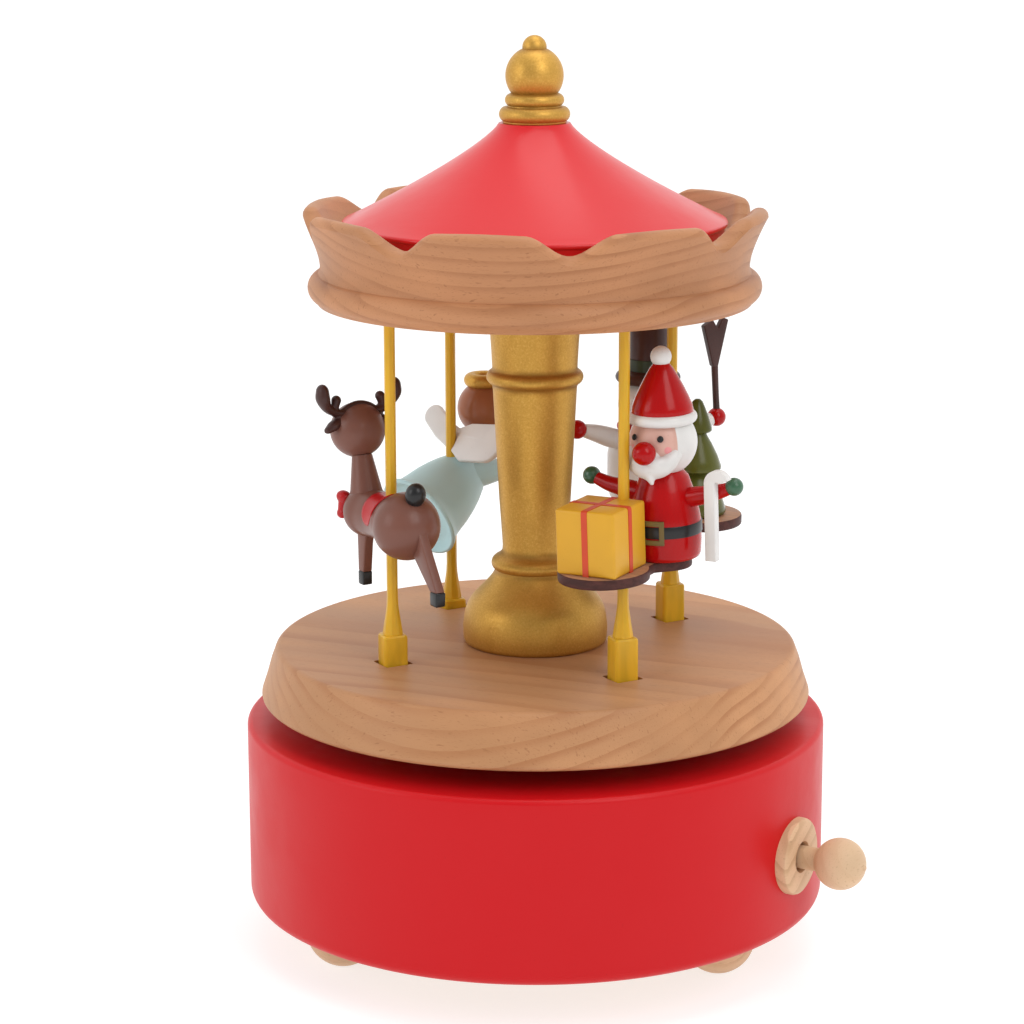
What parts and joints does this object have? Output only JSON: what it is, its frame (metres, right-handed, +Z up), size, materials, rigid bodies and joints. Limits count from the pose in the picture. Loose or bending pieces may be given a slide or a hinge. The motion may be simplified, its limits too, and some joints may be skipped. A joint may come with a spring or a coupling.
{
  "type": "carousel music box",
  "caption": "Free-standing wooden carousel music box: drum base with spring movement, turning platform with rising figures on poles, gold column, scalloped crown and cone roof",
  "frame": {"origin": "On the carousel's axis, at the level of the surface that the feet stand on", "axes": "+Z up along the carousel axis; +X out of the drum through the start and stop knob; +Y completes a right-handed frame"},
  "size_m": [0.1301, 0.115, 0.1798],
  "materials": {
    "red_paint": "satin red lacquer on turned wood",
    "red_gloss": "glossy red lacquer on turned wood",
    "gold_paint": "metallic gold paint on turned wood",
    "beech": "clear-finished steamed beech",
    "pale_wood": "clear-finished pale beech",
    "pole_plastic": "golden yellow moulded plastic",
    "brown_paint": "dark brown painted edge on thin wood",
    "dark_brown_paint": "dark brown satin paint on wood",
    "yellow_paint": "warm yellow satin paint on wood",
    "orange_paint": "orange-red painted lines",
    "black_paint": "black satin paint on wood",
    "white_paint": "off-white satin paint on wood",
    "fawn_paint": "fawn satin paint on wood",
    "green_paint": "olive green satin paint on turned wood",
    "aqua_paint": "pale aqua satin paint on turned wood",
    "hair_paint": "red-brown satin paint on wood",
    "brass": "plain brass",
    "cast_zinc": "die-cast zinc",
    "spring_steel": "hardened and polished steel",
    "screw_steel": "zinc-plated steel",
    "white_plastic": "natural acetal plastic"
  },
  "bodies": {
    "base": {"drum": "red_paint", "bottom_cover": "pale_wood", "cover_screws": "screw_steel", "feet": "pale_wood", "knob_ring": "pale_wood", "cam_ring": "white_plastic", "shaft_bush": "brass", "bedplate": "cast_zinc", "bedplate_screws": "screw_steel", "cylinder_brackets": "cast_zinc", "comb": "spring_steel", "comb_block": "cast_zinc", "comb_screws": "screw_steel", "governor_bracket": "cast_zinc"},
    "carousel": {"platform": "beech", "hub_plate": "cast_zinc", "hub_screws": "screw_steel", "main_shaft": "spring_steel", "spring_barrel": "brass", "mainspring": "spring_steel", "column": "gold_paint", "tie_rod": "screw_steel", "tie_nut": "screw_steel", "crown": "beech", "roof": "red_gloss", "finial": "gold_paint"},
    "santa": {"santa_pole": "pole_plastic", "santa_plate": "brown_paint", "gift_box": "yellow_paint", "gift_ribbon": "orange_paint", "santa_body": "red_gloss", "santa_belt": "black_paint", "santa_head": "white_paint", "santa_hat": "red_gloss", "santa_arms": "red_gloss", "candy_cane": "white_paint"},
    "deer": {"deer_pole": "pole_plastic", "deer_body": "fawn_paint", "deer_head": "fawn_paint", "deer_antlers": "dark_brown_paint", "deer_legs": "fawn_paint", "deer_tail": "black_paint", "deer_harness": "red_gloss"},
    "snowman": {"snowman_pole": "pole_plastic", "snowman_plate": "brown_paint", "snow_tree": "green_paint", "snowman_body": "white_paint", "snowman_hat": "dark_brown_paint", "snowman_arms": "white_paint", "snow_broom": "dark_brown_paint"},
    "angel": {"angel_pole": "pole_plastic", "angel_dress": "aqua_paint", "angel_head": "hair_paint", "angel_wings": "white_paint", "angel_halo": "gold_paint"},
    "music_cylinder": {"pinned_cylinder": "brass"},
    "air_brake": {"governor": "brass"},
    "knob": {"stop_knob": "pale_wood", "brake_wire": "screw_steel"}
  },
  "joints": [
    {"name": "carousel_spin", "type": "hinge", "parent": "base", "child": "carousel", "pos_m": [0, 0, 0.041], "axis": [0, 0, 1], "continuous": true},
    {"name": "santa_rise", "type": "slide", "parent": "carousel", "child": "santa", "axis": [0, 0, 1], "range_m": [-0.00632, 0.00168]},
    {"name": "deer_rise", "type": "slide", "parent": "carousel", "child": "deer", "axis": [0, 0, 1], "range_m": [-0.004, 0.004]},
    {"name": "snowman_rise", "type": "slide", "parent": "carousel", "child": "snowman", "axis": [0, 0, 1], "range_m": [-0.00568, 0.00232]},
    {"name": "angel_rise", "type": "slide", "parent": "carousel", "child": "angel", "axis": [0, 0, 1], "range_m": [0, 0.008]},
    {"name": "cylinder_spin", "type": "hinge", "parent": "base", "child": "music_cylinder", "pos_m": [0.014, 0, 0.0202], "axis": [1, 0, 0], "continuous": true},
    {"name": "air_brake_spin", "type": "hinge", "parent": "base", "child": "air_brake", "pos_m": [0.0335, 0.00665, 0.0265], "axis": [0, 0, 1], "continuous": true},
    {"name": "knob_slide", "type": "slide", "parent": "base", "child": "knob", "axis": [1, 0, 0], "range_m": [-0.0024, 0]}
  ],
  "couplings": [
    {"joint": "cylinder_spin", "follows": "carousel_spin", "ratio": -5},
    {"joint": "air_brake_spin", "follows": "carousel_spin", "ratio": 120}
  ]
}
